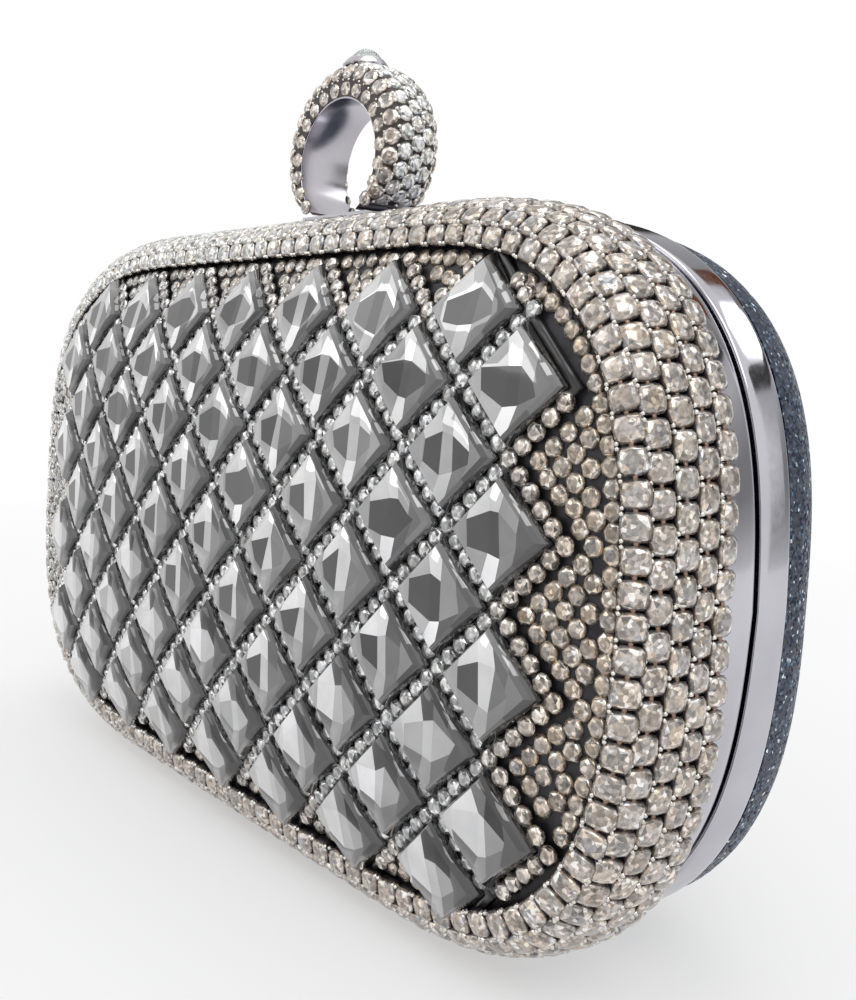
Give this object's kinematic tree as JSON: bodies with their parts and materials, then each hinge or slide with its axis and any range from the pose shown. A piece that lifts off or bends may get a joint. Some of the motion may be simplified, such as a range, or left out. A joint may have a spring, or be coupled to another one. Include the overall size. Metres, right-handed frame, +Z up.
{
  "type": "clutch bag",
  "caption": "Hard two-part evening clutch with rounded ends, a domed stone-set front and a finger-ring clasp on top.",
  "frame": {"origin": "on the ground under the middle of the parting plane between the two frames", "axes": "+X along the bag to the right seen from the front, +Y from the stone-set front to the back, +Z up to the ring"},
  "size_m": [0.1628, 0.0518, 0.1299],
  "materials": {
    "polished_metal": "polished gunmetal plating on cast zinc",
    "shell": "moulded, dark",
    "pressed_sheet": "painted sheet steel, 0.6 mm",
    "enamel": "black, glossy",
    "square_stones": "foil-backed smoky crystal",
    "claw_stones": "champagne crystal in dark cups",
    "clear_stone": "clear crystal",
    "glitter_cloth": "dark slate glitter cloth",
    "lining": "black cloth",
    "steel": "plated steel"
  },
  "bodies": {
    "back_half": {"back_frame": "polished_metal", "back_shell": "pressed_sheet", "back_cover": "glitter_cloth", "back_lining": "lining", "hinge_left_back_leaf": "steel", "hinge_right_back_leaf": "steel", "hinge_left_pin": "steel", "hinge_right_pin": "steel", "ring_saddle": "steel", "ring_pin": "steel", "ring_spring": "steel"},
    "front_half": {"front_frame": "polished_metal", "front_shell": "shell", "stone_carrier": "enamel", "stone_lattice": "square_stones", "claw_row_1": "claw_stones", "claw_row_2": "claw_stones", "claw_row_3": "claw_stones", "claw_row_4": "claw_stones", "claw_row_5": "claw_stones", "front_lining": "lining", "hinge_left_front_leaf": "steel", "hinge_right_front_leaf": "steel", "strike_plate": "steel"},
    "ring": {"ring_foot": "steel", "latch_tongue": "steel", "ring_band": "polished_metal", "ring_pave": "claw_stones", "ring_collar": "polished_metal", "ring_stone": "clear_stone"}
  },
  "joints": [
    {"name": "lid_hinge", "type": "hinge", "parent": "back_half", "child": "front_half", "pos_m": [0, 0, 0.00175], "axis": [1, 0, 0], "range_deg": [0, 70]},
    {"name": "ring_tilt", "type": "hinge", "parent": "back_half", "child": "ring", "pos_m": [0, 0.00287, 0.0973], "axis": [-1, 0, 0], "range_deg": [0, 20], "stiffness_Nm_per_rad": 0.03, "springref_deg": -8.59}
  ]
}
